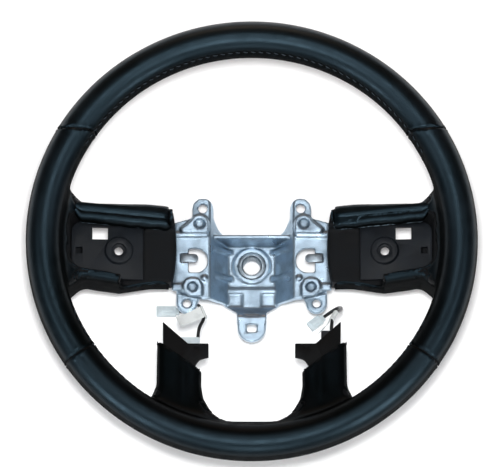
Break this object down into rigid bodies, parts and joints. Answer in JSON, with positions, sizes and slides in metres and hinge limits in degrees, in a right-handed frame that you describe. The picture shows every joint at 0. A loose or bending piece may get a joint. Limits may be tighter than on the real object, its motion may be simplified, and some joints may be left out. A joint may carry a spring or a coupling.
{
  "type": "car steering wheel",
  "caption": "Leather-wrapped car steering wheel with a bare cast hub frame, open switch pockets, lower spoke plates and loose heater leads, airbag removed.",
  "frame": {"origin": "on the axis of the hub bore, on the hub's back face, which lies on the ground", "axes": "+Z along the column axis towards the driver, +Y to twelve o'clock, +X to three o'clock"},
  "size_m": [0.39, 0.39, 0.1305],
  "materials": {
    "cast_metal": "blasted casting",
    "steel": "machined",
    "foam": "matt moulded skin",
    "leather": "smooth, with a soft sheen",
    "dark_plastic": "fine grain",
    "black_plastic": "moulded",
    "white_plastic": "moulded",
    "white_tape": "woven tape",
    "insulation": "smooth insulation"
  },
  "bodies": {
    "root": {"armature": "cast_metal", "hub_insert": "steel", "latch_clip_left": "steel", "latch_clip_right": "steel", "rim_foam": "foam", "leather_top": "leather", "leather_left": "leather", "leather_right": "leather", "leather_bottom": "leather", "switch_carrier_left": "dark_plastic", "switch_carrier_right": "dark_plastic", "lower_plate_left": "dark_plastic", "lower_plate_right": "dark_plastic", "lead_socket_right": "black_plastic", "lead_connector_left": "white_plastic", "lead_connector_right": "white_plastic", "lead_socket_left": "white_plastic", "tape_flag_left": "white_tape", "tape_flag_right": "white_tape", "heater_lead_left": "insulation", "heater_lead_right": "insulation"}
  },
  "joints": []
}
